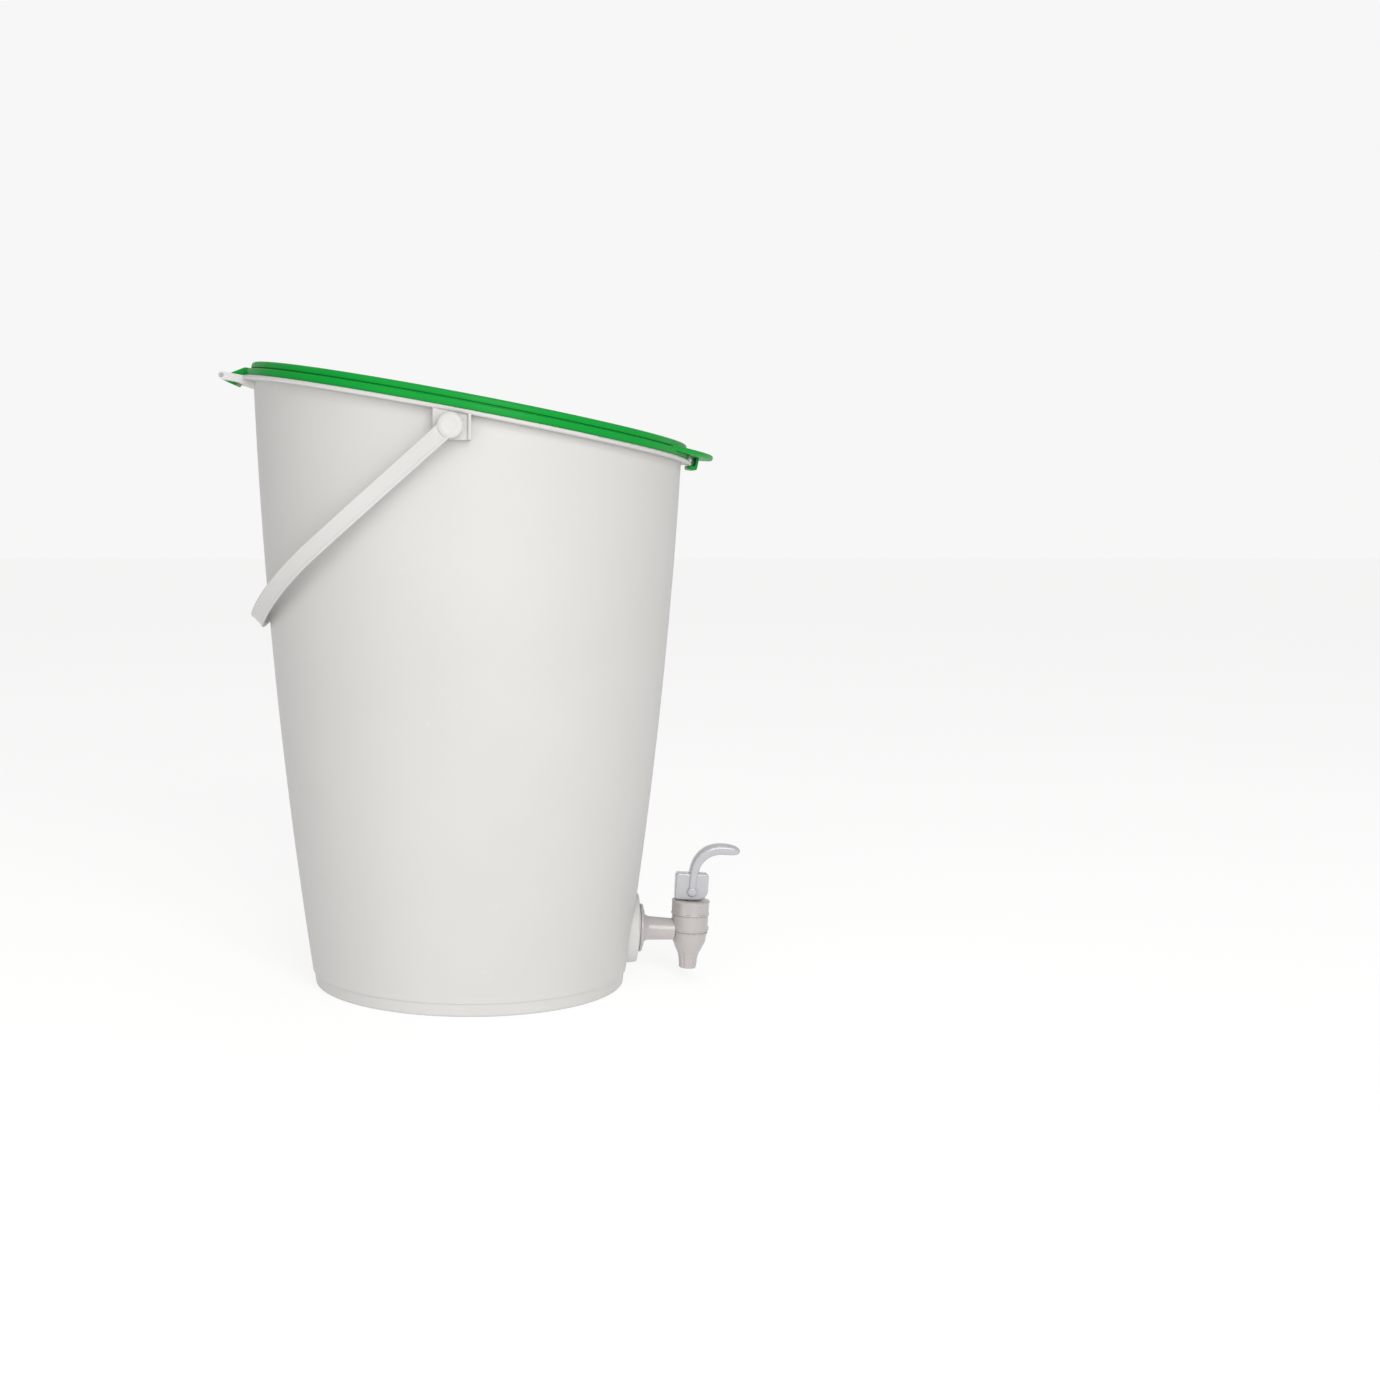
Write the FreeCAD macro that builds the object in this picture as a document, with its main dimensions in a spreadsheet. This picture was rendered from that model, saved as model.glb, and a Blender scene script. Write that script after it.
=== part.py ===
"""Kitchen fermenting bucket: tapered pail with a slanting rim, hinged lid, handle, strainer and tap.

Millimetres, +Z up. The origin is the centre of the base face, +X points to the tap, and the lid's
hinge is at the back, on -X. The bucket is symmetric about the XZ plane.
"""
import FreeCAD
import Part

import math
import os

import Sketcher
from FreeCAD import Placement, Rotation, Vector

SIZES = {
    # Wall: a slightly barrelled taper between the foot and the rim
    "wall_gauge": 2.6, "wall_sweep": 3634.8, "wall_low_radius": 107.45, "wall_top_radius": 144.35,
    "wall_top": 420.0, "foot_height": 9.0, "foot_radius": 105.6, "foot_flare": 106.4,
    "floor_gauge": 3.4, "floor_fillet": 6.0, "sole_inner": 18.0, "sole_outer": 97.0,
    "sole_recess": 1.2, "support_top": 52.0, "support_reach": 84.0, "support_gauge": 2.2,
    "support_foot": 104.5, "support_head": 112.3,
    # Rim frame: the rim's centre on the flange's top face, and its tilt towards the tap
    "rim_tilt": 10.71, "rim_shift": -1.4, "rim_height": 381.86,
    "flange_radius": 152.3, "flange_gauge": 2.6, "flange_round": 1.1,
    "lip_inner": 141.8, "lip_outer": 144.0, "lip_height": 7.0, "ring_bore": 141.0,
    # Hinge at the back of the rim
    "hinge_reach": 163.2, "hinge_drop": 2.8, "ear_half": 2.4, "ear_inner": 16.0, "ear_outer": 31.3,
    "gusset_drop": 5.9, "pin_radius": 1.5, "pin_play": 0.06, "pin_grip": 0.02,
    "barrel_radius": 2.5, "tongue_half": 14.7,
    # Lid, in the rim frame
    "lid_radius": 150.0, "lid_height": 9.7, "lid_step": 4.7, "lid_upper_radius": 147.6,
    "lid_corner": 2.4, "lid_edge_round": 0.8, "lid_groove": 0.7, "bead_inner": 139.0,
    "panel_radius": 137.0, "panel_top": 8.6, "panel_bottom": 6.2, "channel_outer": 144.6,
    "channel_inner": 141.4, "channel_top": 8.2, "plug_radius": 141.0, "plug_inner": 135.8,
    "plug_bottom": 5.0, "moat_radius": 134.0, "moat_top": 7.4,
    "tab_centre": 81.5, "tab_radius": 85.0, "tab_root": 146.0, "tab_bottom": 2.6,
    "tab_gauge": 3.4,
    "hook_width": 28.0, "hook_out": 156.6, "hook_gauge": 2.0, "toe_in": 151.0,
    "toe_top": 2.7, "toe_gauge": 2.9,
    # Handle: the bail's plane turns about the pivot line
    "pivot_x": -11.5, "pivot_z": 372.4, "bail_angle": 42.6, "bail_reach": 180.0,
    "bail_slope": 14.77, "bail_radius": 148.1, "bail_gauge": 4.2, "bail_half_width": 5.5,
    "bail_rise": 1.5, "bend_start": 116.0, "bend_radius": 250.0, "bend_angle": 19.0,
    "boss_radius": 8.0, "boss_inner": 155.4, "boss_outer": 163.3, "dish_radius": 5.6,
    "dish_depth": 0.6, "stud_radius": 4.5, "stud_end": 145.2, "stud_play": 0.08,
    "bracket_back": -22.0, "bracket_front": 1.0, "bracket_low": 364.0, "bracket_face": 150.0,
    "bracket_rib": 152.0, "rib_gauge": 1.7, "socket_end": 144.8,
    # Strainer plate
    "plate_radius": 110.0, "plate_gauge": 2.5, "plate_lip": 0.9, "plate_lip_width": 1.4,
    "fin_length": 83.0, "fin_height": 28.0, "fin_gauge": 3.0, "fin_corner": 6.0,
    "hole_radius": 3.2, "ring_step": 15.77, "nib_width": 3.0, "nib_reach": 0.75,
    # Tap frame: the boss face's centre, with the shank pointing out and slightly down
    "tap_x": 115.3, "tap_z": 34.9, "tap_tilt": 2.4, "boss_pad_radius": 23.5, "pad_flare": 5.5,
    "inner_pad_radius": 16.0, "inner_pad_gap": 9.6, "shank_bore": 8.2,
    "tap_axis": 36.1, "shank_radius": 8.0, "shank_flare": 8.7, "shank_slim": 7.3, "shank_end": 22.0,
    "shank_passage": 5.0, "tap_flange_radius": 16.5, "tap_flange_near": 1.4,
    "tap_flange_far": 4.2, "washer_radius": 15.4, "inner_washer_gauge": 2.4,
    "nut_gauge": 7.0, "nut_flats": 24.0,
    "spout_bottom": -26.3, "spout_top": -19.0, "spout_radius": 5.9, "spout_bore": 4.3,
    "cone_top": -13.1, "cone_radius": 8.9, "ring_line": -0.2, "bulb_radius": 11.5,
    "bulb_top": -6.7, "barrel_outer": 12.5, "bonnet_bottom": 11.1, "neck_radius": 11.0,
    "neck_top": 16.9, "chamber_radius": 9.4, "chamber_bottom": -11.0,
    "bonnet_radius": 13.1, "bonnet_top": 21.1, "bonnet_deck": 18.1, "bonnet_round": 1.5,
    "bonnet_flat": 12.6, "thread_play": 0.1,
    "stem_radius": 2.4, "stem_hole": 2.5, "stem_foot": -6.5, "collar_radius": 6.4,
    "collar_bottom": 4.6, "stem_travel": 3.5, "collar_top": 6.0, "tongue_width": 4.0, "tongue_gauge": 2.8,
    "stem_top": 29.2, "lever_pin_height": 27.2, "lever_pin_radius": 1.05,
    "spring_radius": 5.0, "spring_wire": 0.45, "spring_turns": 5.0,
    "cup_flange": 10.8, "cup_wall": 0.9, "cup_plug_radius": 6.2, "cup_waist": 7.6,
    "block_back": -11.7, "block_front": 11.1, "block_bottom": -6.05, "block_top": 12.7,
    "block_gauge": 9.0, "block_cam": 7.4, "block_corner": 2.4,
    "arm_width": 11.6, "arm_half": 3.0, "lever_boss_radius": 3.4, "lever_boss_width": 12.8,
    "slot_width": 3.4, "slot_radius": 4.0,
}

HOLE_RINGS = {2: 32, 1: 26, 0: 22, -1: 14, -2: 10}   # holes in each ring, from the middle ring
ORIGIN_POINT = (-1, 1)
HORIZONTAL_AXIS = -1
VERTICAL_AXIS = -2
FAR = 400.0                                          # longer than anything a cut goes through


class Size:
    """A length with the spreadsheet expression that gives it."""

    def __init__(self, value, text):
        self.value = value
        self.text = text

    def __add__(self, other):
        other = as_size(other)
        return Size(self.value + other.value, f"({self.text} + {other.text})")

    def __sub__(self, other):
        other = as_size(other)
        return Size(self.value - other.value, f"({self.text} - {other.text})")

    def __mul__(self, other):
        other = as_size(other)
        return Size(self.value * other.value, f"({self.text} * {other.text})")

    def __truediv__(self, other):
        other = as_size(other)
        return Size(self.value / other.value, f"({self.text} / {other.text})")

    def __rsub__(self, other):
        return as_size(other) - self

    def __neg__(self):
        return Size(-self.value, f"(-1 * {self.text})")

    __radd__ = __add__
    __rmul__ = __mul__


def as_size(value):
    return value if isinstance(value, Size) else Size(float(value), repr(float(value)))


def root(size):
    return Size(math.sqrt(size.value), f"sqrt({size.text})")


def sine(angle):
    return Size(math.sin(math.radians(angle.value)), f"sin({angle.text})")


def cosine(angle):
    return Size(math.cos(math.radians(angle.value)), f"cos({angle.text})")


class Frame:
    """A frame in the XZ plane: its origin, and its turn about +Y."""

    def __init__(self, x, z, tilt):
        self.x, self.z, self.tilt = x, z, tilt
        self.sin, self.cos = sine(tilt), cosine(tilt)

    def at(self, along, up, *radius):
        """The sketch point for a point of the frame; an arc's radius is passed through."""
        along, up = as_size(along), as_size(up)
        x = self.x + along * self.cos + up * self.sin
        z = self.z - along * self.sin + up * self.cos
        return (x, z, *radius)

    def place(self, thing):
        """Put a sub-part that is drawn in this frame where it belongs."""
        base = Vector(self.x.value, 0, self.z.value)
        thing.Placement = Placement(base, Rotation(Vector(0, 1, 0), self.tilt.value))
        thing.setExpression("Placement.Base.x", self.x.text)
        thing.setExpression("Placement.Base.z", self.z.text)
        thing.setExpression("Placement.Rotation.Angle", self.tilt.text)


doc = FreeCAD.newDocument("fermenting_bucket")
sheet = doc.addObject("Spreadsheet::Sheet", "Sizes")
for row, (alias, number) in enumerate(SIZES.items(), start=1):
    sheet.set(f"A{row}", alias)
    sheet.set(f"B{row}", str(number))
    sheet.setAlias(f"B{row}", alias)
doc.recompute()


def get(alias):
    return Size(SIZES[alias], f"Sizes.{alias}")


rim = Frame(get("rim_shift"), get("rim_height"), get("rim_tilt"))
tap = Frame(get("tap_x"), get("tap_z"), get("tap_tilt"))
bail = Frame(get("pivot_x"), get("pivot_z"), as_size(180) - get("bail_angle"))
SUB_PARTS = []


# ---------------------------------------------------------------- drawing helpers
def new_body(name, frame=None):
    body = doc.addObject("PartDesign::Body", name)
    body.Label = name
    if frame:
        frame.place(body)
    SUB_PARTS.append(body)
    return body


def sketch_on(body, role, name, offset=None):
    sketch = body.newObject("Sketcher::SketchObject", name)
    plane = [item for item in body.Origin.OriginFeatures if item.Role == role][0]
    sketch.AttachmentSupport = [(plane, "")]
    sketch.MapMode = "FlatFace"
    if offset is not None:
        offset = as_size(offset)
        sketch.AttachmentOffset = Placement(Vector(0, 0, offset.value), Rotation())
        sketch.setExpression("AttachmentOffset.Base.z", offset.text)
    return sketch


def fix_distance(sketch, kind, axis, point, distance):
    """Hold one coordinate of a point at a size."""
    if abs(distance.value) < 1e-9:
        sketch.addConstraint(Sketcher.Constraint("PointOnObject", *point, axis))
        return
    if distance.value > 0:
        ends, size = (*ORIGIN_POINT, *point), distance
    else:
        ends, size = (*point, *ORIGIN_POINT), -distance
    index = sketch.addConstraint(Sketcher.Constraint(kind, *ends, size.value))
    sketch.setExpression(f"Constraints[{index}]", size.text)


def fix_point(sketch, point, x, y):
    fix_distance(sketch, "DistanceX", VERTICAL_AXIS, point, as_size(x))
    fix_distance(sketch, "DistanceY", HORIZONTAL_AXIS, point, as_size(y))


def fix_radius(sketch, edge, radius):
    index = sketch.addConstraint(Sketcher.Constraint("Radius", edge, radius.value))
    sketch.setExpression(f"Constraints[{index}]", radius.text)


def arc_between(start, end, radius):
    """The shorter arc: its centre is left of the way from start to end for a positive radius."""
    chord = end - start
    rise = math.sqrt(max(radius * radius - chord.Length ** 2 / 4, 0.0))
    left = Vector(-chord.y, chord.x, 0) / chord.Length
    centre = (start + end) / 2 + left * math.copysign(rise, radius)
    first, last = (start, end) if radius > 0 else (end, start)
    angles = [math.atan2(p.y - centre.y, p.x - centre.x) for p in (first, last)]
    if angles[1] < angles[0]:
        angles[1] += 2 * math.pi
    return Part.ArcOfCircle(Part.Circle(centre, Vector(0, 0, 1), abs(radius)), *angles)


def outline(sketch, corners):
    """Closed outline. A corner is (x, y), or (x, y, radius) where an arc leads to the next one."""
    corners = [tuple(as_size(item) for item in corner) for corner in corners]
    ends = []
    for corner, ahead in zip(corners, corners[1:] + corners[:1]):
        start, end = (Vector(c[0].value, c[1].value, 0) for c in (corner, ahead))
        if len(corner) == 2:
            edge = sketch.addGeometry(Part.LineSegment(start, end), False)
            ends.append(((edge, 1), (edge, 2)))
            continue
        radius = corner[2]
        edge = sketch.addGeometry(arc_between(start, end, radius.value), False)
        forward = radius.value > 0
        ends.append(((edge, 1), (edge, 2)) if forward else ((edge, 2), (edge, 1)))
        fix_radius(sketch, edge, radius if forward else -radius)
    for i, corner in enumerate(corners):
        sketch.addConstraint(Sketcher.Constraint("Coincident", *ends[i - 1][1], *ends[i][0]))
        fix_point(sketch, ends[i][0], corner[0], corner[1])


def circle(sketch, x, y, radius):
    x, y, radius = as_size(x), as_size(y), as_size(radius)
    shape = Part.Circle(Vector(x.value, y.value, 0), Vector(0, 0, 1), radius.value)
    edge = sketch.addGeometry(shape, False)
    fix_radius(sketch, edge, radius)
    fix_point(sketch, (edge, 3), x, y)


def axis_line(sketch, start, end):
    """A construction line that a turned feature can use as its axis."""
    points = [Vector(p[0].value, p[1].value, 0) for p in (start, end)]
    edge = sketch.addGeometry(Part.LineSegment(*points), True)
    fix_point(sketch, (edge, 1), *start)
    fix_point(sketch, (edge, 2), *end)


def turned(body, name, corners, axis="V_Axis", line=None, cut=False):
    """Revolve an outline drawn on the XZ plane, about a sketch axis or a construction line."""
    sketch = sketch_on(body, "XZ_Plane", name + "_outline")
    outline(sketch, corners)
    if line:
        axis_line(sketch, *line)
        axis = "Axis0"
    feature = body.newObject("PartDesign::Groove" if cut else "PartDesign::Revolution", name)
    feature.Profile = sketch
    feature.ReferenceAxis = (sketch, [axis])
    feature.Angle = 360
    sketch.Visibility = False
    return feature


def raised(body, name, sketch, length, symmetric=True, backwards=False, cut=False):
    """Pad or pocket a sketch, to both sides of its plane unless symmetric is off."""
    length = as_size(length)
    feature = body.newObject("PartDesign::Pocket" if cut else "PartDesign::Pad", name)
    feature.Profile = sketch
    feature.Length = length.value
    feature.setExpression("Length", length.text)
    feature.SideType = "Symmetric" if symmetric else "One side"
    feature.Reversed = backwards
    return feature


def slab(body, name, corners, width, cut=False):
    """A slab with an outline on the XZ plane, centred on it."""
    sketch = sketch_on(body, "XZ_Plane", name + "_outline")
    outline(sketch, corners)
    return raised(body, name, sketch, width, cut=cut)


def rod(body, name, x, z, radius, width, cut=False):
    """A round rod along Y, centred on the XZ plane."""
    sketch = sketch_on(body, "XZ_Plane", name + "_outline")
    circle(sketch, x, z, radius)
    return raised(body, name, sketch, width, cut=cut)


def around_z(body, name, feature, count):
    """Copies of a feature, evenly spaced about the body's Z axis."""
    pattern = body.newObject("PartDesign::PolarPattern", name)
    pattern.Originals = [feature]
    z_axis = [item for item in body.Origin.OriginFeatures if item.Role == "Z_Axis"][0]
    pattern.Axis = (z_axis, [""])
    pattern.Angle = 360
    pattern.Occurrences = count
    body.Tip = pattern
    return pattern


def ring(name, frame, inner, outer, low, high):
    """A flat ring or washer about the frame's Z axis."""
    body = new_body(name, frame)
    corners = [(inner, low), (outer, low), (outer, high), (inner, high)]
    turned(body, name + "_turned", corners)
    return body


def shank_ring(name, inner, outer, near, far):
    """A washer about the tap's shank."""
    body = new_body(name, tap)
    corners = [(near, inner), (far, inner), (far, outer), (near, outer)]
    turned(body, name + "_turned", corners, axis="H_Axis")
    return body


# ---------------------------------------------------------------- bucket
def wall_outline(inset, low_x, low_z):
    """The barrelled flank from its low corner up to above the rim, moved in by the inset."""
    return [
        (low_x, low_z, get("wall_sweep")),
        (get("wall_top_radius") - inset, get("wall_top")),
        (0, get("wall_top")),
    ]


def rim_ring(body):
    """Flange with a rounded edge, and the upstanding lip that the lid's channel covers."""
    gauge, edge = get("flange_gauge"), get("flange_round")
    outer, lip_top = get("flange_radius"), get("lip_height")
    lip_round = (get("lip_outer") - get("lip_inner")) / 2.2
    corners = [
        rim.at(get("ring_bore"), -gauge),
        rim.at(outer - edge, -gauge, edge),
        rim.at(outer, edge - gauge),
        rim.at(outer, -edge, edge),
        rim.at(outer - edge, 0),
        rim.at(get("lip_outer"), 0),
        rim.at(get("lip_outer"), lip_top - lip_round, lip_round),
        rim.at(get("lip_outer") - lip_round, lip_top),
        rim.at(get("lip_inner") + lip_round, lip_top, lip_round),
        rim.at(get("lip_inner"), lip_top - lip_round),
        rim.at(get("lip_inner"), 0.8),
        rim.at(get("ring_bore"), 0),
    ]
    turned(body, "rim_ring", corners, line=(rim.at(0, -20), rim.at(0, 20)))


def hinge_ears(body):
    """Two flat ears with rounded tips and a gusset under the flange."""
    reach, drop, half = -get("hinge_reach"), get("hinge_drop"), get("ear_half")
    corners = [
        rim.at(-138, half - drop),
        rim.at(reach, half - drop, half),
        rim.at(reach - half, -drop, half),
        rim.at(reach, -(drop + half)),
        rim.at(-153.5, -(drop + half)),
        rim.at(-150, -get("gusset_drop")),
        rim.at(-138, -get("gusset_drop")),
    ]
    slab(body, "ears", corners, get("ear_outer") * 2)
    gap_start = -(get("flange_radius") + 0.3)
    gap = [rim.at(gap_start, 9), rim.at(-190, 9), rim.at(-190, -25), rim.at(gap_start, -25)]
    slab(body, "ear_gap", gap, get("ear_inner") * 2, cut=True)
    hole_x, hole_z = rim.at(reach, -drop)
    rod(body, "ear_holes", hole_x, hole_z, get("pin_radius") + get("pin_grip"), FAR, cut=True)


def handle_brackets(body):
    """Plates under the flange on both sides, each with a front rib, that carry the handle."""
    back, front, low = get("bracket_back"), get("bracket_front"), get("bracket_low")
    tan = rim.sin / rim.cos

    def under_flange(x):
        return (x, rim.z - (x - rim.x) * tan - 2)

    rib_back = front - get("rib_gauge")
    plate = [(back, low), (front, low), under_flange(front), under_flange(back)]
    slab(body, "bracket_plates", plate, get("bracket_face") * 2)
    rib = [(rib_back, low), (front, low), under_flange(front), under_flange(rib_back)]
    slab(body, "bracket_ribs", rib, get("bracket_rib") * 2)


def tap_boss(body):
    """Round pad whose flat face takes the tap's outer washer."""
    radius, flare = get("boss_pad_radius"), get("pad_flare")
    corners = [
        tap.at(-60, 0),
        tap.at(0, 0),
        tap.at(0, radius - 1, 1),
        tap.at(-1, radius),
        tap.at(-6, radius + 0.6, -flare),
        tap.at(-flare - 6, radius + flare),
        tap.at(-60, radius + flare),
    ]
    turned(body, "boss_pad", corners, line=(tap.at(-60, 0), tap.at(0, 0)))


def tap_seat_inside(body):
    """Flat seat for the inner washer, and the hole for the shank."""
    gap, radius = get("inner_pad_gap"), get("inner_pad_radius")
    corners = [tap.at(-gap, 0), tap.at(-5, 0), tap.at(-5, radius), tap.at(-gap, radius)]
    turned(body, "inner_seat", corners, line=(tap.at(-gap, 0), tap.at(-5, 0)))
    bore = get("shank_bore")
    corners = [tap.at(-30, 0), tap.at(20, 0), tap.at(20, bore), tap.at(-30, bore)]
    turned(body, "shank_hole", corners, line=(tap.at(-30, 0), tap.at(20, 0)), cut=True)


def make_bucket():
    body = new_body("bucket_shell")
    foot, gauge = get("foot_height"), get("wall_gauge")
    sole = [
        (0, 0),
        (get("sole_inner"), 0),
        (get("sole_inner"), get("sole_recess")),
        (get("sole_outer"), get("sole_recess")),
        (get("sole_outer"), 0),
        (get("foot_radius") - 1, 0, 1),
        (get("foot_radius"), 1),
        (get("foot_flare"), foot),
    ]
    turned(body, "pail", sole + wall_outline(0, get("wall_low_radius"), foot))
    under = -get("flange_gauge")
    above = [rim.at(-FAR, under), rim.at(FAR, under), rim.at(FAR, 200), rim.at(-FAR, 200)]
    slab(body, "rim_cut", above, FAR, cut=True)
    hinge_ears(body)
    handle_brackets(body)
    tap_boss(body)
    floor, fillet = get("floor_gauge"), get("floor_fillet")
    low_x = get("wall_low_radius") - gauge
    cavity = [(0, floor), (low_x - fillet, floor, fillet)]
    cavity += wall_outline(gauge, low_x, floor + fillet)
    turned(body, "cavity", cavity, cut=True)
    socket = sketch_on(body, "XZ_Plane", "socket_outline", get("socket_end"))
    circle(socket, get("pivot_x"), get("pivot_z"), get("stud_radius") + get("stud_play"))
    raised(body, "near_socket", socket, 20, symmetric=False, backwards=True, cut=True)
    socket = sketch_on(body, "XZ_Plane", "far_socket_outline", -get("socket_end"))
    circle(socket, get("pivot_x"), get("pivot_z"), get("stud_radius") + get("stud_play"))
    raised(body, "far_socket", socket, 20, symmetric=False, cut=True)
    rim_ring(body)
    tap_seat_inside(body)
    top, reach = get("support_top"), -get("support_reach")
    rib = [(-get("support_foot"), 2), (reach, 2), (reach, top), (-get("support_head"), top)]
    support = slab(body, "support_rib", rib, get("support_gauge"))
    around_z(body, "support_ribs", support, 3)
    return body


# ---------------------------------------------------------------- lid
def lid_outline():
    """Half section: dished panel, double-stepped edge, lip channel, plug ring and moat."""
    radius, step, upper = get("lid_radius"), get("lid_step"), get("lid_upper_radius")
    height, corner, edge = get("lid_height"), get("lid_corner"), get("lid_edge_round")
    groove = upper - get("lid_groove")
    bottom = get("plug_bottom")
    return [
        (0, get("panel_bottom")),
        (get("moat_radius"), get("panel_bottom")),
        (get("moat_radius") + 0.4, get("moat_top")),
        (get("plug_inner") - 0.2, get("moat_top")),
        (get("plug_inner"), bottom + 0.6),
        (get("plug_inner") + 0.6, bottom),
        (get("plug_radius") - 0.6, bottom),
        (get("plug_radius"), bottom + 0.6),
        (get("channel_inner"), get("channel_top")),
        (get("channel_outer"), get("channel_top")),
        (get("channel_outer"), 0.3),
        (get("channel_outer") + 0.3, 0),
        (radius - 0.5, 0, 0.5),
        (radius, 0.5),
        (radius, step - edge, edge),
        (radius - edge, step),
        (groove, step),
        (groove, step + 0.6),
        (upper, step + 0.9),
        (upper, height - corner, corner),
        (upper - corner, height),
        (get("bead_inner"), height),
        (get("panel_radius"), get("panel_top")),
        (0, get("panel_top")),
    ]


def lid_tab(body):
    """Lens-shaped finger tab, level with the lower band of the lid's edge."""
    centre, radius, inner = get("tab_centre"), get("tab_radius"), get("tab_root")
    meet = (inner * inner - radius * radius + centre * centre) / (centre * 2)
    half = root(inner * inner - meet * meet)
    sketch = sketch_on(body, "XY_Plane", "tab_outline", get("tab_bottom"))
    outline(sketch, [(meet, -half, radius), (meet, half, -inner)])
    raised(body, "tab", sketch, get("tab_gauge"), symmetric=False)


def lid_tongue(body):
    """Wedge that reaches from the skirt to the pin, with a barrel round the pin."""
    reach, drop = -get("hinge_reach"), -get("hinge_drop")
    offsets = [(0, 2.2), (2.2, 2.4), (12.0, 8.3), (16.5, 8.6), (16.5, 2.95), (9.7, 2.95),
               (8.2, -4.6), (1.0, -2.9), (-0.6, -1.2)]
    corners = [(reach + along, drop + up) for along, up in offsets]
    slab(body, "tongue", corners, get("tongue_half") * 2)
    rod(body, "barrel", reach, drop, get("barrel_radius"), get("tongue_half") * 2)
    rod(body, "pin_hole", reach, drop, get("pin_radius") + get("pin_play"), FAR, cut=True)


def make_lid():
    body = new_body("lid_shell", rim)
    turned(body, "shell", lid_outline())
    lid_tab(body)
    lid_tongue(body)
    return body


def make_latch_hook():
    """Flexing leg under the tab, with a toe that grips under the flange."""
    body = new_body("lid_latch_hook", rim)
    out, gauge = get("hook_out"), get("hook_gauge")
    toe_top, toe = -get("toe_top"), get("toe_gauge")
    bottom = toe_top - toe
    corners = [
        (out - gauge, get("tab_bottom")),
        (out - gauge, toe_top),
        (get("toe_in"), toe_top),
        (get("toe_in"), bottom + 0.8),
        (get("toe_in") + 0.8, bottom),
        (out - 1.2, bottom, 1.2),
        (out, bottom + 1.2),
        (out, get("tab_bottom")),
    ]
    slab(body, "hook", corners, get("hook_width"))
    return body


def make_hinge_pin():
    body = new_body("hinge_pin", rim)
    length = (get("ear_outer") - 0.1) * 2
    rod(body, "pin", -get("hinge_reach"), -get("hinge_drop"), get("pin_radius"), length)
    return body


# ---------------------------------------------------------------- handle
def beside_strap(offset, far):
    """The region beside the strap's curved side: straight along the arms, bent down at the bow."""
    rise, turn, radius = get("bail_rise"), get("bend_angle"), get("bend_radius")
    sin, cos = sine(rise), cosine(rise)
    end_sin, end_cos = sine(turn - rise), cosine(turn - rise)
    start = get("bend_start")
    level = -start * sin / cos
    reach = radius - offset
    behind = start + 20
    ahead = start + radius * sin + reach * end_sin
    return [
        (start + offset * sin - behind * cos, level + offset * cos + behind * sin),
        (start + offset * sin, level + offset * cos, reach),
        (ahead, level + radius * cos - reach * end_cos),
        (ahead, far),
        (start + offset * sin - behind * cos, far),
    ]


def make_handle():
    """Strap bail: two arms that lean inwards and run into one round bow, which droops a little."""
    body = new_body("carry_handle", bail)
    slope, radius, half = get("bail_slope"), get("bail_radius"), get("bail_gauge") / 2
    centre = get("bail_reach") - radius
    start = as_size(3)
    sin, cos = sine(slope), cosine(slope)

    def on_arm(along, side):
        """The arm's face at a distance from the pivot line; the arm is tangent to the bow."""
        touch = centre + radius * sin
        middle = radius * cos + (touch - along) * sin / cos
        return (along, middle + half * side / cos)

    def on_bow(side):
        return (centre + (radius + half * side) * sin, (radius + half * side) * cos)

    def mirrored(point):
        return (point[0], -point[1])

    outer, inner = radius + half, radius - half
    corners = [
        on_arm(start, 1),
        (*on_bow(1), -outer),
        mirrored(on_bow(1)),
        mirrored(on_arm(start, 1)),
        mirrored(on_arm(start, -1)),
        (*mirrored(on_bow(-1)), inner),
        on_bow(-1),
        on_arm(start, -1),
    ]
    sketch = sketch_on(body, "XY_Plane", "bow_outline")
    outline(sketch, corners)
    raised(body, "bow", sketch, 60)
    width = get("bail_half_width")
    slab(body, "front_trim", beside_strap(width, 60), FAR, cut=True)
    slab(body, "back_trim", beside_strap(-width, -60), FAR, cut=True)
    ends = []
    for name, sign in (("near", 1), ("far", -1)):
        away = sign < 0
        sketch = sketch_on(body, "XZ_Plane", name + "_boss_outline", get("boss_inner") * sign)
        circle(sketch, 0, 0, get("boss_radius"))
        depth = get("boss_outer") - get("boss_inner")
        ends.append(raised(body, name + "_boss", sketch, depth, symmetric=False, backwards=away))
        sketch = sketch_on(body, "XZ_Plane", name + "_stud_outline", get("stud_end") * sign)
        circle(sketch, 0, 0, get("stud_radius"))
        depth = get("boss_inner") - get("stud_end") + 1
        ends.append(raised(body, name + "_stud", sketch, depth, symmetric=False, backwards=away))
        sketch = sketch_on(body, "XZ_Plane", name + "_dish_outline", get("boss_outer") * sign)
        circle(sketch, 0, 0, get("dish_radius"))
        depth = get("dish_depth")
        raised(body, name + "_dish", sketch, depth, symmetric=False, backwards=away, cut=True)
    return body


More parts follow.
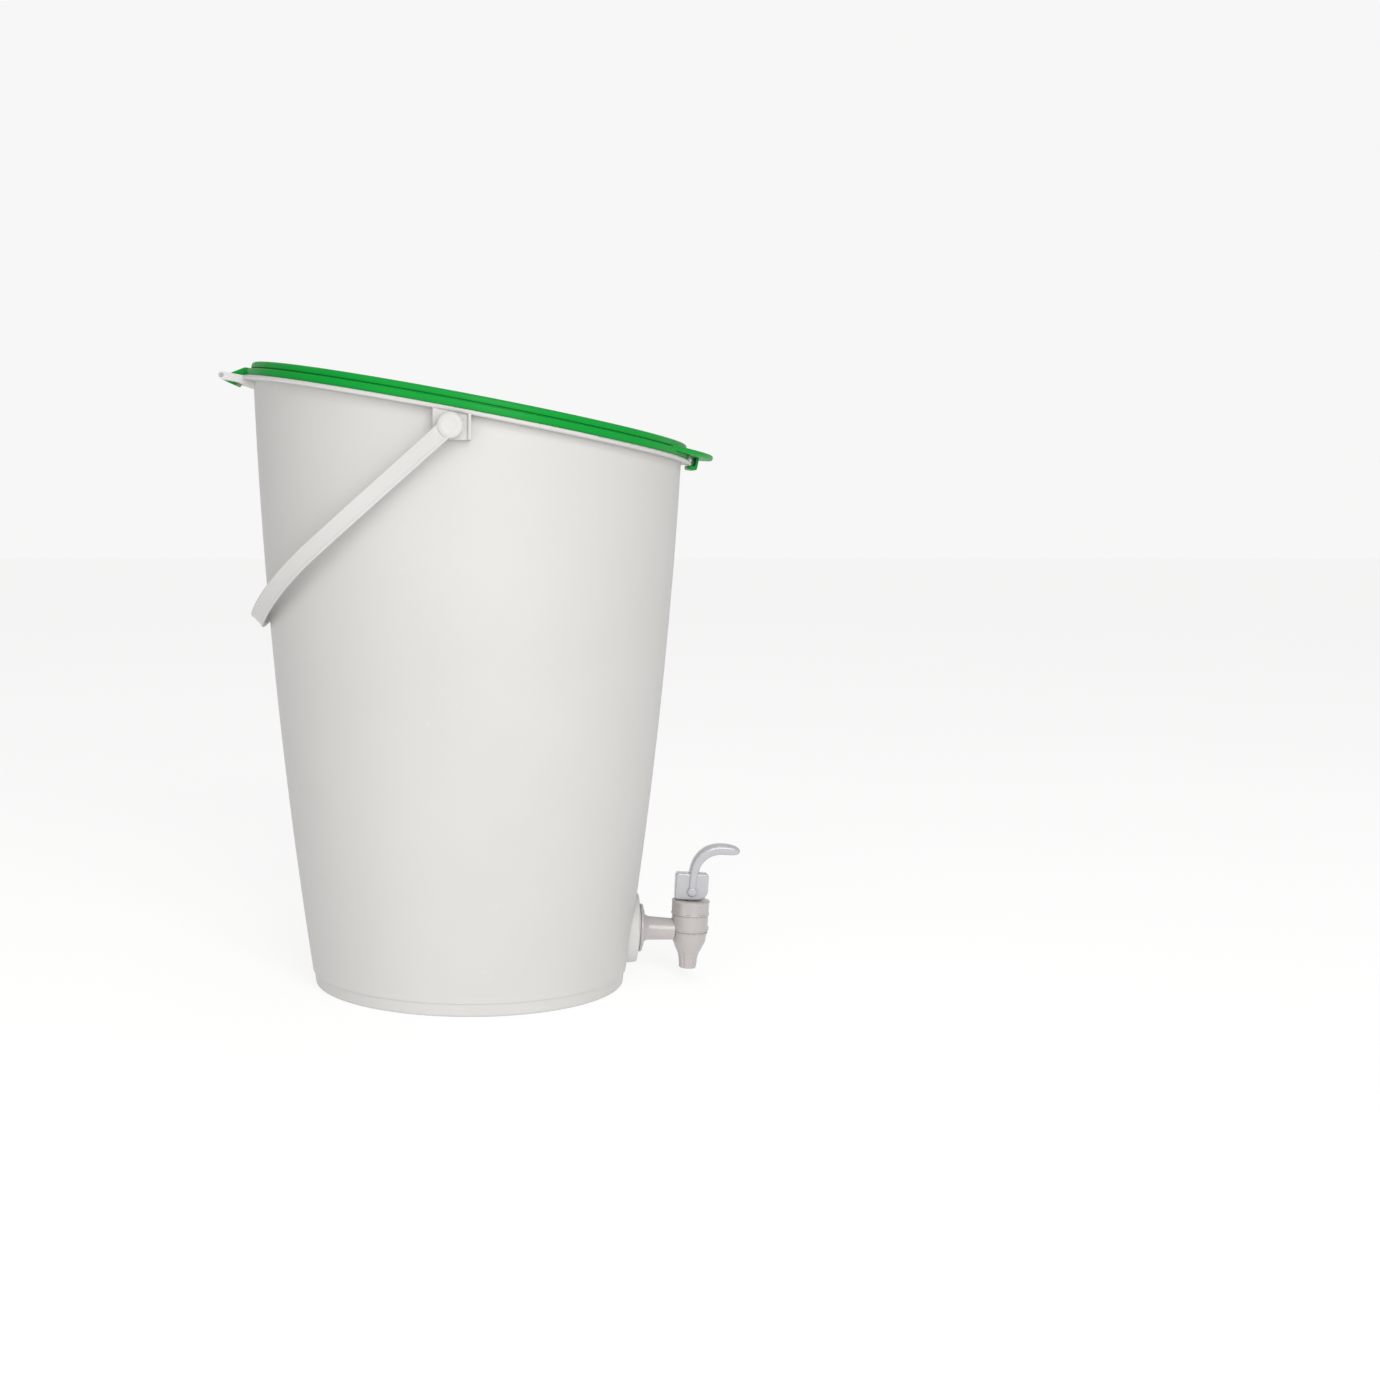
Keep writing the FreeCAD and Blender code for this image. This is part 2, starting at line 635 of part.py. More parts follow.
# ---------------------------------------------------------------- strainer
def make_strainer():
    """Perforated plate on the support ribs, with a grip fin and one centring nib."""
    body = new_body("strainer_plate")
    low, radius = get("support_top"), get("plate_radius")
    top, lip = low + get("plate_gauge"), get("plate_lip")
    lip_foot = radius - get("plate_lip_width") - lip
    corners = [(0, low), (radius, low), (radius, top + lip), (lip_foot + lip, top + lip),
               (lip_foot, top), (0, top)]
    turned(body, "plate", corners)
    half, rise, corner = get("fin_length") / 2, top + get("fin_height"), get("fin_corner")
    fin = [
        (-half, top - 0.5),
        (half, top - 0.5),
        (half, rise - corner, corner),
        (half - corner, rise),
        (corner - half, rise, corner),
        (-half, rise - corner),
    ]
    slab(body, "fin", fin, get("fin_gauge"))
    nib = [(-(radius + get("nib_reach")), low + 0.4), (-(radius - 2), low + 0.4),
           (-(radius - 2), top), (-(radius + get("nib_reach")), top)]
    slab(body, "nib", nib, get("nib_width"))
    middle = get("ring_step") * 3.68
    for place, count in HOLE_RINGS.items():
        sketch = sketch_on(body, "XY_Plane", f"ring_{count}_outline", low - 1)
        circle(sketch, 0, middle + get("ring_step") * place, get("hole_radius"))
        depth = get("plate_gauge") + 2
        hole = raised(body, f"hole_{count}", sketch, depth, symmetric=False, backwards=True, cut=True)
        around_z(body, f"ring_{count}", hole, count)
    return body


# ---------------------------------------------------------------- tap
tap_middle = Frame(tap.x + get("tap_axis") * tap.cos, tap.z - get("tap_axis") * tap.sin, tap.tilt)
lever_pin = Frame(*tap_middle.at(0, get("lever_pin_height")), tap.tilt)


def make_tap_body():
    """Spout and valve chamber turned about the upright axis, with the side shank."""
    body = new_body("tap_body", tap_middle)
    bulb, barrel = get("bulb_radius"), get("barrel_outer")
    upright = [
        (0, get("spout_bottom")),
        (get("spout_radius") - 0.5, get("spout_bottom"), 0.5),
        (get("spout_radius"), get("spout_bottom") + 0.5),
        (get("spout_radius") + 0.5, get("spout_top"), -12),
        (get("cone_radius"), get("cone_top"), 22),
        (bulb, get("bulb_top")),
        (bulb + 0.4, get("ring_line") - 0.4),
        (barrel, get("ring_line")),
        (barrel, get("bonnet_bottom")),
        (get("neck_radius"), get("bonnet_bottom")),
        (get("neck_radius"), get("neck_top")),
        (0, get("neck_top")),
    ]
    turned(body, "upright", upright)
    axis = get("tap_axis")

    def shank(distance, radius, *arc):
        """A point on the shank: its distance out from the boss face, and its radius."""
        return (as_size(distance) - axis, as_size(radius), *arc)

    flange_near, flange_far = get("tap_flange_near"), get("tap_flange_far")
    flange = get("tap_flange_radius")
    profile = [
        shank(-get("shank_end"), 0),
        shank(axis, 0),
        shank(axis - 6, get("shank_slim")),
        shank(flange_far + 2, get("shank_flare") - 0.4, -2.4),
        shank(flange_far, get("shank_flare") + 1.4),
        shank(flange_far, flange - 3.2),
        shank(flange_far - 0.8, flange - 3.2),
        shank(flange_far - 0.8, flange - 0.5, 0.5),
        shank(flange_far - 1.3, flange),
        shank(flange_near, flange),
        shank(flange_near, get("shank_radius")),
        shank(0.8 - get("shank_end"), get("shank_radius")),
        shank(-get("shank_end"), get("shank_radius") - 0.8),
    ]
    turned(body, "shank", profile, axis="H_Axis")
    bore, chamber = get("spout_bore"), get("chamber_radius")
    hollow = [
        (0, get("spout_bottom") - 1),
        (bore, get("spout_bottom") - 1),
        (bore, get("chamber_bottom") - 0.8),
        (bore + 0.8, get("chamber_bottom")),
        (chamber - 3, get("chamber_bottom"), 3),
        (chamber, get("chamber_bottom") + 3),
        (chamber, get("neck_top") + 1),
        (0, get("neck_top") + 1),
    ]
    turned(body, "chamber", hollow, cut=True)
    passage = get("shank_passage")
    inlet = [shank(-(get("shank_end") + 1), 0), shank(axis - 5, 0), shank(axis - 5, passage),
             shank(-(get("shank_end") + 1), passage)]
    turned(body, "inlet", inlet, axis="H_Axis", cut=True)
    nub = sketch_on(body, "YZ_Plane", "nub_outline", barrel - 1)
    circle(nub, 0, get("ring_line") + 1.6, 1.3)
    raised(body, "nub", nub, 2.2, symmetric=False)
    return body


def make_tap_bonnet():
    """Screw collar with eight shallow flats, and a deck that guides the stem."""
    body = new_body("tap_bonnet", tap_middle)
    radius, edge, top = get("bonnet_radius"), get("bonnet_round"), get("bonnet_top")
    low, deck = get("bonnet_bottom"), get("bonnet_deck")
    bore, hole = get("neck_radius") + get("thread_play"), get("stem_hole")
    corners = [
        (bore, low),
        (radius - 0.4, low),
        (radius, low + 0.4),
        (radius, top - edge, edge),
        (radius - edge, top),
        (hole, top),
        (hole, deck),
        (bore, deck),
    ]
    turned(body, "collar", corners)
    flat = get("bonnet_flat")
    sketch = sketch_on(body, "XY_Plane", "flat_outline", low + 1)
    outline(sketch, [(flat, -8), (flat + 4, -8), (flat + 4, 8), (flat, 8)])
    height = top - low - 2.6
    cut = raised(body, "flat", sketch, height, symmetric=False, backwards=True, cut=True)
    around_z(body, "flats", cut, 8)
    return body


def make_tap_stem():
    """Plunger: rod, spring collar, and a narrow top that fits between the lever's cheeks."""
    body = new_body("tap_stem", tap_middle)
    radius, collar = get("stem_radius"), get("collar_radius")
    deck = get("bonnet_top") - get("stem_travel")
    corners = [
        (0, get("stem_foot")),
        (radius, get("stem_foot")),
        (radius, get("collar_bottom")),
        (collar, get("collar_bottom")),
        (collar, get("collar_top")),
        (radius, get("collar_top")),
        (radius, deck),
        (0, deck),
    ]
    turned(body, "rod", corners)
    half, pin, top = get("tongue_width") / 2, get("lever_pin_height"), get("stem_top")
    tongue = [(-half, deck - 0.5), (half, deck - 0.5), (half, top - half, half), (0, top, half),
              (-half, top - half)]
    slab(body, "eye", tongue, get("tongue_gauge"))
    rod(body, "eye_hole", 0, pin, get("lever_pin_radius") + 0.02, FAR, cut=True)
    return body


def make_tap_lever():
    """Block whose rounded front corner rolls on the bonnet, with a curved finger arm."""
    body = new_body("tap_lever", lever_pin)
    back, front = get("block_back"), get("block_front")
    low, high = get("block_bottom"), get("block_top")
    cam, corner = get("block_cam"), get("block_corner")
    block = [
        (back + corner, low),
        (front - cam, low, cam),
        (front, low + cam),
        (front, high - corner, corner),
        (front - corner, high),
        (back + corner, high, corner),
        (back, high - corner),
        (back, low + corner, corner),
    ]
    slab(body, "block", block, get("block_gauge"))
    half = get("arm_half")
    arm = [
        (half, 0),
        (half, 11.5, -13.6),
        (16.5, 24.8),
        (28.7, 25.9, 2.6),
        (31.3, 28.5, 2.6),
        (29.3, 31.0, 34),
        (16.5, 33.2, 20),
        (-2.6, 13.4),
        (-half, 0),
    ]
    slab(body, "arm", arm, get("arm_width"))
    rod(body, "pivot_boss", 0, 0, get("lever_boss_radius"), get("lever_boss_width"))
    reach = get("slot_radius")
    slot = [(-reach, low - 1), (front + 1, low - 1), (front + 1, 2.5), (2.6, reach), (-2.6, reach),
            (-reach, 2.6)]
    slab(body, "slot", slot, get("slot_width"), cut=True)
    sketch = sketch_on(body, "XZ_Plane", "pin_hole_outline", get("arm_width") / 2 - 1.2)
    circle(sketch, 0, 0, get("lever_pin_radius") + 0.05)
    raised(body, "pin_hole", sketch, 20, symmetric=False, cut=True)
    return body


def make_tap_internals():
    """Lever pin, silicone cup, washers and back nut."""
    body = new_body("tap_lever_pin", lever_pin)
    sketch = sketch_on(body, "XZ_Plane", "pin_outline", get("arm_width") / 2 - 1.3)
    circle(sketch, 0, 0, get("lever_pin_radius"))
    raised(body, "pin", sketch, get("arm_width") - 1.4, symmetric=False, backwards=True)

    body = new_body("tap_seat_cup", tap_middle)
    gauge, plug, stem = get("cup_wall"), get("cup_plug_radius"), get("stem_radius")
    seat, top = get("chamber_bottom"), get("neck_top")
    waist = get("cup_waist")
    corners = [
        (0, seat),
        (plug, seat),
        (plug, seat + 2),
        (stem + 2, seat + 4.4),
        (stem + 2, 0),
        (waist, 3.6),
        (waist + gauge, top),
        (get("cup_flange"), top),
        (get("cup_flange"), top + gauge),
        (waist, top + gauge),
        (waist - gauge, 4.2),
        (stem, 1.4),
        (stem, get("stem_foot")),
        (0, get("stem_foot")),
    ]
    turned(body, "cup", corners)

    inner_face = -get("inner_pad_gap")
    washer_end = inner_face - get("inner_washer_gauge")
    bore = get("shank_radius") + 0.05
    shank_ring("tap_outer_washer", bore, get("washer_radius"), 0, get("tap_flange_near"))
    shank_ring("tap_inner_washer", bore, get("washer_radius") - 1, washer_end, inner_face)

    body = new_body("tap_back_nut", tap)
    sketch = sketch_on(body, "YZ_Plane", "nut_outline", washer_end)
    side = get("nut_flats") / root(as_size(3))
    flat = get("nut_flats") / 2
    outline(sketch, [(side, 0), (side / 2, flat), (-side / 2, flat), (-side, 0),
                     (-side / 2, -flat), (side / 2, -flat)])
    raised(body, "hexagon", sketch, get("nut_gauge"), symmetric=False, backwards=True)
    sketch = sketch_on(body, "YZ_Plane", "thread_outline", washer_end + 1)
    circle(sketch, 0, 0, bore)
    raised(body, "thread", sketch, FAR, symmetric=False, cut=True)


def make_tap_spring():
    """Compression spring between the stem's collar and the bonnet's deck."""
    low = get("collar_top") + get("spring_wire") + 0.1
    high = get("bonnet_deck") - get("spring_wire") - 0.1
    pitch = (high - low) / get("spring_turns")
    helix = doc.addObject("Part::Helix", "spring_path")
    wire = doc.addObject("Part::Circle", "spring_wire")
    settings = {
        helix: {"Pitch": pitch, "Height": high - low, "Radius": get("spring_radius"),
                "Placement.Base.z": low},
        wire: {"Radius": get("spring_wire"), "Placement.Base.x": get("spring_radius"),
               "Placement.Base.z": low},
    }
    wire.Placement = Placement(Vector(0, 0, 0), Rotation(Vector(1, 0, 0), 90))
    for thing, values in settings.items():
        for field, size in values.items():
            thing.setExpression(field, size.text)
    doc.recompute()
    coil = doc.addObject("Part::Sweep", "tap_spring")
    coil.Sections = [wire]
    coil.Spine = (helix, [])
    coil.Solid = True
    coil.Frenet = True
    coil.Label = "tap_spring"
    tap_middle.place(coil)
    SUB_PARTS.append(coil)


# ---------------------------------------------------------------- assembly
make_bucket()
make_lid()
make_latch_hook()
seal_room = 0.15
ring("lid_seal_ring", rim, get("channel_inner") + seal_room, get("channel_outer") - seal_room,
     get("lip_height"), get("channel_top"))
make_hinge_pin()
make_handle()
make_strainer()
make_tap_body()
make_tap_bonnet()
make_tap_stem()
make_tap_lever()
make_tap_internals()
make_tap_spring()
doc.recompute()

for item in doc.Objects:
    if {"Invalid", "Error"} & set(item.State):
        raise RuntimeError(f"{item.Label} failed: {item.State}")

os.makedirs("parts", exist_ok=True)
for part in SUB_PARTS:
    if part.Shape.isNull() or not part.Shape.isValid():
        raise RuntimeError(f"{part.Label} has no valid shape")
    part.Shape.exportStep(f"parts/{part.Label}.step")
    box = part.Shape.optimalBoundingBox(False)
    print(f"{part.Label:18s} solids {len(part.Shape.Solids)} volume {part.Shape.Volume:10.1f}  "
          f"x {box.XMin:7.1f} {box.XMax:7.1f}  y {box.YMin:7.1f} {box.YMax:7.1f}  "
          f"z {box.ZMin:7.1f} {box.ZMax:7.1f}")
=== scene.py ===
"""Looks for the kitchen fermenting bucket: finished meshes, moulded-plastic materials, soft studio.

Lengths in the shape code are millimetres in a local frame; a matrix takes them to metres in the
shared frame. +X points to the tap, the lid's hinge is on -X, and Z is up.
"""

import math

import bmesh
import bpy
from mathutils import Matrix, Vector


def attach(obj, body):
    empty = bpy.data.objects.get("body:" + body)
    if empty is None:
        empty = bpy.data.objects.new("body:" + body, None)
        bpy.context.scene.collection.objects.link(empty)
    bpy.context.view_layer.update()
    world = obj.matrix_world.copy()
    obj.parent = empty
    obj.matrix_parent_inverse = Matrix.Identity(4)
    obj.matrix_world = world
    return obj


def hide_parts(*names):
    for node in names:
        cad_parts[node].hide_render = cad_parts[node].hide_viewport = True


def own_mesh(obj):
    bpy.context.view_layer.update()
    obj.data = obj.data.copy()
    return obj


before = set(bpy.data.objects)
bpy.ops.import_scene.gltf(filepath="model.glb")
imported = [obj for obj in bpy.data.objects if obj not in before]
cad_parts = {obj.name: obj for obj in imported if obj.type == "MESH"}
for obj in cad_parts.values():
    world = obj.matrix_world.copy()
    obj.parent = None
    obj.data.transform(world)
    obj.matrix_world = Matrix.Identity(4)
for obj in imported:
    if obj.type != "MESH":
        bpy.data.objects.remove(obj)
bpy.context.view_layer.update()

MM = 0.001


# ---------------------------------------------------------------- frames
def local_frame(x, z, tilt):
    """Local millimetres to shared metres: an origin in the XZ plane, turned about +Y."""
    place = Matrix.Translation((x * MM, 0, z * MM))
    return place @ Matrix.Rotation(math.radians(tilt), 4, "Y") @ Matrix.Scale(MM, 4)


RIM = local_frame(-1.4, 381.86, 10.71)
BAIL = local_frame(-11.5, 372.4, 180 - 42.6)
TAP_TILT = 2.4
TAP_AXIS = 36.1
tap_cos, tap_sin = math.cos(math.radians(TAP_TILT)), math.sin(math.radians(TAP_TILT))
TAP_X, TAP_Z = 115.3 + TAP_AXIS * tap_cos, 34.9 - TAP_AXIS * tap_sin
TAP = local_frame(TAP_X, TAP_Z, TAP_TILT)
PIN_UP = 27.2
LEVER = local_frame(TAP_X + PIN_UP * tap_sin, TAP_Z + PIN_UP * tap_cos, TAP_TILT)


# ---------------------------------------------------------------- outlines
def rounded(corners, step_deg=15):
    """Closed outline whose corners (x, y, radius) become arcs; a corner (x, y) stays sharp."""
    points = []
    count = len(corners)
    for i, corner in enumerate(corners):
        here = Vector(corner[:2])
        radius = corner[2] if len(corner) > 2 else 0
        if radius <= 0:
            points.append(here)
            continue
        back = Vector(corners[i - 1][:2]) - here
        ahead = Vector(corners[(i + 1) % count][:2]) - here
        room = min(back.length, ahead.length)
        back.normalize()
        ahead.normalize()
        angle = back.angle(ahead)
        if angle > math.pi - 0.02:
            points.append(here)
            continue
        reach = min(radius / math.tan(angle / 2), room * 0.49)
        radius = reach * math.tan(angle / 2)
        centre = here + (back + ahead).normalized() * (radius / math.sin(angle / 2))
        first = here + back * reach - centre
        turn = first.angle_signed(here + ahead * reach - centre)
        steps = max(2, round(abs(math.degrees(turn)) / step_deg))
        for k in range(steps + 1):
            a = -turn * k / steps
            c, s = math.cos(a), math.sin(a)
            points.append(centre + Vector((first.x * c - first.y * s, first.x * s + first.y * c)))
    return points


def arc_points(centre, radius, start_deg, end_deg, steps):
    """Points of an arc, both ends included."""
    points = []
    for k in range(steps + 1):
        a = math.radians(start_deg + (end_deg - start_deg) * k / steps)
        points.append(Vector((centre[0] + radius * math.cos(a), centre[1] + radius * math.sin(a))))
    return points


def inset(points, distance):
    """A closed counter-clockwise outline moved inwards."""
    moved = []
    count = len(points)
    for i, here in enumerate(points):
        a = (here - points[i - 1]).normalized()
        b = (points[(i + 1) % count] - here).normalized()
        normal = Vector((-(a.y + b.y), a.x + b.x))
        if normal.length < 1e-6:
            normal = Vector((-a.y, a.x))
        normal.normalize()
        lean = max(0.35, normal.dot(Vector((-a.y, a.x))))
        moved.append(here + normal * (distance / lean))
    return moved


def area(points):
    """Signed area of a closed outline, positive when it runs counter-clockwise."""
    total = 0
    for i, p in enumerate(points):
        q = points[(i + 1) % len(points)]
        total += p.x * q.y - q.x * p.y
    return total / 2


# ---------------------------------------------------------------- meshes
SMOOTH_DEG = 32               # faces that meet at less than this look like one surface


def new_object(name, bm, matrix=None, smooth_deg=SMOOTH_DEG):
    """Finish a bmesh as an object at the origin, with its place in its vertices."""
    bmesh.ops.remove_doubles(bm, verts=bm.verts, dist=1e-4)
    bmesh.ops.recalc_face_normals(bm, faces=bm.faces)
    mesh = bpy.data.meshes.new(name)
    bm.to_mesh(mesh)
    bm.free()
    if matrix:
        mesh.transform(matrix)
    obj = bpy.data.objects.new(name, mesh)
    bpy.context.collection.objects.link(obj)
    shade(obj, smooth_deg)
    return obj


def shade(obj, smooth_deg):
    """Smooth shading with sharp edges where faces meet at more than an angle."""
    mesh = obj.data
    mesh.shade_smooth()
    mesh.set_sharp_from_angle(angle=math.radians(smooth_deg))


def lathe(bm, profile, segments, axis="Z", shape=None):
    """Turn a closed profile of (radius, along) about an axis.

    shape(radius, along, angle) may vary the radius round the axis.
    """
    rings = []
    for radius, along in profile:
        if radius < 1e-6:
            rings.append([bm.verts.new(on_axis(axis, 0, 0, along))])
            continue
        ring = []
        for k in range(segments):
            a = 2 * math.pi * k / segments
            r = shape(radius, along, a) if shape else radius
            ring.append(bm.verts.new(on_axis(axis, r * math.cos(a), r * math.sin(a), along)))
        rings.append(ring)
    for first, second in zip(rings, rings[1:] + rings[:1]):
        if len(first) == 1 and len(second) == 1:
            continue
        for k in range(segments):
            n = (k + 1) % segments
            if len(first) == 1:
                bm.faces.new((first[0], second[k], second[n]))
            elif len(second) == 1:
                bm.faces.new((first[k], second[0], first[n]))
            else:
                bm.faces.new((first[k], second[k], second[n], first[n]))


def on_axis(axis, p, q, along):
    """A point at (p, q) across an axis and at a distance along it."""
    if axis == "Z":
        return (p, q, along)
    if axis == "X":
        return (along, p, q)
    return (p, along, q)


def skin(bm, loops):
    """Join loops of equal length into a tube with a flat face at each end."""
    for first, second in zip(loops, loops[1:]):
        count = len(first)
        for k in range(count):
            n = (k + 1) % count
            bm.faces.new((first[k], first[n], second[n], second[k]))
    bm.faces.new(loops[0])
    bm.faces.new(loops[-1])


def prism(bm, points, half, edge, plane="XZ", steps=4, middle=0.0):
    """A plate in the XZ or XY plane, 2 * half thick, with rounded edges of radius edge."""
    if area(points) < 0:
        points = points[::-1]
    rows = []
    for side in (-1, 1):
        levels = range(steps + 1) if side < 0 else range(steps, -1, -1)
        for k in levels:
            a = math.pi / 2 * k / steps
            rows.append((edge * (1 - math.sin(a)), side * (half - edge * (1 - math.cos(a)))))
    loops = []
    for shift, across in rows:
        outline = inset(points, shift) if shift > 1e-6 else points
        across += middle
        if plane == "XZ":
            loops.append([bm.verts.new((p.x, across, p.y)) for p in outline])
        else:
            loops.append([bm.verts.new((p.x, p.y, across)) for p in outline])
    skin(bm, loops)


def solid_of(name, build, matrix, smooth_deg=SMOOTH_DEG):
    """A new object from a function that fills a bmesh in local millimetres."""
    bm = bmesh.new()
    build(bm)
    return new_object(name, bm, matrix, smooth_deg)


def combine(base, others, operation="UNION", smooth_deg=SMOOTH_DEG):
    """Exact boolean of closed meshes, applied to the base."""
    for other in others:
        modifier = base.modifiers.new("join", "BOOLEAN")
        modifier.operation = operation
        modifier.solver = "EXACT"
        modifier.object = other
    apply_modifiers(base)
    for other in others:
        bpy.data.objects.remove(other, do_unlink=True)
    shade(base, smooth_deg)
    return base


def apply_modifiers(obj):
    """Replace an object's mesh by its evaluated one."""
    graph = bpy.context.evaluated_depsgraph_get()
    mesh = bpy.data.meshes.new_from_object(obj.evaluated_get(graph))
    obj.modifiers.clear()
    old = obj.data
    obj.data = mesh
    bpy.data.meshes.remove(old)


# ---------------------------------------------------------------- materials
class Nodes:
    """Short names for building the node tree of a material or of the world."""

    def __init__(self, owner):
        self.owner = owner
        owner.use_nodes = True
        self.tree = owner.node_tree
        self.tree.nodes.clear()

    def feed(self, socket, value):
        """Set an input to a constant, or link it to another node's output."""
        if isinstance(value, bpy.types.NodeSocket):
            self.tree.links.new(value, socket)
        else:
            socket.default_value = value

    def add(self, kind, settings=None, **inputs):
        item = self.tree.nodes.new("ShaderNode" + kind)
        for key, value in (settings or {}).items():
            setattr(item, key, value)
        for key, value in inputs.items():
            self.feed(item.inputs[key.replace("_", " ")], value)
        return item

    def noise(self, vector, scale, detail=4.0, rough=0.5, distort=0.0):
        item = self.add("TexNoise", Vector=vector, Scale=scale, Detail=detail, Roughness=rough,
                        Distortion=distort)
        return item.outputs["Fac"]

    def span(self, value, low, high, out_low=0.0, out_high=1.0, smooth=False):
        kind = "SMOOTHSTEP" if smooth else "LINEAR"
        item = self.add("MapRange", {"interpolation_type": kind}, Value=value)
        for key, number in (("From Min", low), ("From Max", high), ("To Min", out_low),
                            ("To Max", out_high)):
            item.inputs[key].default_value = number
        return item.outputs["Result"]

    def mix(self, factor, a, b):
        item = self.add("Mix", {"data_type": "RGBA"})
        for k, value in ((0, factor), (6, a), (7, b)):      # 6 and 7 are the colour sockets
            self.feed(item.inputs[k], value)
        return item.outputs[2]

    def maths(self, operation, a, b=0.0):
        item = self.add("Math", {"operation": operation})
        for socket, value in zip(item.inputs, (a, b)):
            self.feed(socket, value)
        return item.outputs[0]

    def bump(self, height, distance, strength=1.0, normal=None):
        item = self.add("Bump", Height=height, Distance=distance, Strength=strength)
        if normal:
            self.tree.links.new(normal, item.inputs["Normal"])
        return item.outputs["Normal"]


def plastic(name, base, shade_of, rough, grain_mm=0.5, grain=0.02, sheen=0.35, coat=0.0,
            specks=0.0, scuffs=0.4, painted_edge_highlight=0.06, soften=0.0, painted_crevice_shade=0.35, painted_shade_reach_mm=2.5,
            ior=1.49):
    """Moulded plastic: cloudy tone, tool texture, flow marks, scuffs, a painted highlight on sharp
    edges, painted shade in corners.
    """
    n = Nodes(bpy.data.materials.new(name))
    where = n.add("TexCoord").outputs["Object"]
    cloud = n.noise(where, 9.0, 3.0, 0.55)
    tone = n.mix(n.span(cloud, 0.3, 0.7), (*base, 1), (*shade_of, 1))
    flow_map = n.add("Mapping", Vector=where)
    flow_map.inputs["Scale"].default_value = (1.0, 1.0, 0.22)
    flow = n.noise(flow_map.outputs[0], 38.0, 5.0, 0.6, 0.4)
    scratch_map = n.add("Mapping", Vector=where)
    scratch_map.inputs["Rotation"].default_value = (0.5, 0.9, 0.2)
    scratch_map.inputs["Scale"].default_value = (1.0, 14.0, 1.6)
    scratch = n.noise(scratch_map.outputs[0], 120.0, 2.0, 0.5, 1.6)
    scratch = n.span(scratch, 0.66, 0.72, smooth=True)
    patch = n.span(n.noise(where, 22.0, 2.0), 0.5, 0.66, smooth=True)
    scuff = n.maths("MULTIPLY", scratch, n.maths("MULTIPLY", patch, scuffs))
    # painted highlight: sharp convex edges are mixed towards a paler tone
    pointy = n.add("NewGeometry").outputs["Pointiness"]
    edge = n.span(pointy, 0.515, 0.57)
    pale = tuple(min(1.0, c * 1.25 + 0.03) for c in base)
    tone = n.mix(n.maths("MULTIPLY", edge, painted_edge_highlight * 6), tone, (*pale, 1))
    tone = n.mix(n.maths("MULTIPLY", scuff, 0.35), tone, (*pale, 1))
    if specks:
        cells = n.add("TexVoronoi", Vector=where, Scale=95.0, Randomness=1.0)
        dot = n.span(cells.outputs["Distance"], 0.035, 0.05, 1.0, 0.0)
        rare = n.span(n.noise(where, 60.0, 1.0), 0.68, 0.7)
        dark = tuple(c * 0.45 for c in base)
        tone = n.mix(n.maths("MULTIPLY", n.maths("MULTIPLY", dot, rare), specks), tone, (*dark, 1))
    # painted shade: ambient occlusion darkens the colour in corners, creases and between parts
    if painted_crevice_shade:
        open_air = n.add("AmbientOcclusion", {"samples": 6}, Distance=painted_shade_reach_mm * MM).outputs["AO"]
        painted_shade_mask = n.span(open_air, 0.25, 0.85, painted_crevice_shade, 0.0)
        dull = tuple(c * 0.42 for c in base)
        tone = n.mix(painted_shade_mask, tone, (*dull, 1))
    gloss = n.span(flow, 0.3, 0.7, rough - 0.05, rough + 0.06)
    gloss = n.maths("ADD", gloss, n.maths("MULTIPLY", scuff, 0.25))
    fine = n.noise(where, 1000.0 / grain_mm, 3.0, 0.65)
    relief = None
    if soften:
        relief = n.add("Bevel", {"samples": 4}, Radius=soften * MM).outputs[0]
    relief = n.bump(fine, grain * MM, 1.0, relief)
    relief = n.bump(flow, 0.05 * MM, 0.6, relief)
    relief = n.bump(scuff, 0.03 * MM, 0.8, relief)
    shader = n.add("BsdfPrincipled", Base_Color=tone, Roughness=gloss, Normal=relief, IOR=ior)
    shader.inputs["Specular IOR Level"].default_value = sheen
    shader.inputs["Coat Weight"].default_value = coat
    shader.inputs["Coat Roughness"].default_value = 0.15
    n.add("OutputMaterial", Surface=shader.outputs[0])
    return n.owner


def steel(name):
    """Drawn wire: fine streaks in tone and gloss."""
    n = Nodes(bpy.data.materials.new(name))
    where = n.add("TexCoord").outputs["Object"]
    lines = n.add("Mapping", Vector=where)
    lines.inputs["Scale"].default_value = (4.0, 0.4, 4.0)
    streak = n.noise(lines.outputs[0], 1500.0, 3.0)
    # the tone is kept dark as painted shade: the pins show dark in their holes
    tone = n.mix(streak, (0.26, 0.26, 0.27, 1), (0.42, 0.42, 0.43, 1))
    gloss = n.span(streak, 0.2, 0.8, 0.18, 0.32)
    shader = n.add("BsdfPrincipled", Base_Color=tone, Roughness=gloss, Metallic=1.0,
                   Normal=n.bump(streak, 0.01 * MM))
    n.add("OutputMaterial", Surface=shader.outputs[0])
    return n.owner


WHITE = 0.93                  # brightness of the backdrop and the far floor
FLOOR_GLOW = 0.785            # share of that which the floor gives off by itself
AIR = 0.95                    # the room's light from in front and behind
SIDE_DIM, TOP_DIM = 0.6, 0.45     # how much of it is missing from the sides and from overhead
LEAST_AIR = 0.1


def floor_material():
    """Pale paper that glows enough to run into the white behind it."""
    n = Nodes(bpy.data.materials.new("floor_paper"))
    where = n.add("TexCoord").outputs["Object"]
    tone = n.mix(n.noise(where, 3.0), (0.36, 0.36, 0.358, 1), (0.34, 0.34, 0.338, 1))
    shader = n.add("BsdfPrincipled", Base_Color=tone, Roughness=0.9,
                   Normal=n.bump(n.noise(where, 900.0), 0.02 * MM))
    shader.inputs["Specular IOR Level"].default_value = 0.0
    shader.inputs["Emission Color"].default_value = (1, 1, 0.998, 1)
    shader.inputs["Emission Strength"].default_value = WHITE * FLOOR_GLOW
    n.add("OutputMaterial", Surface=shader.outputs[0])
    return n.owner


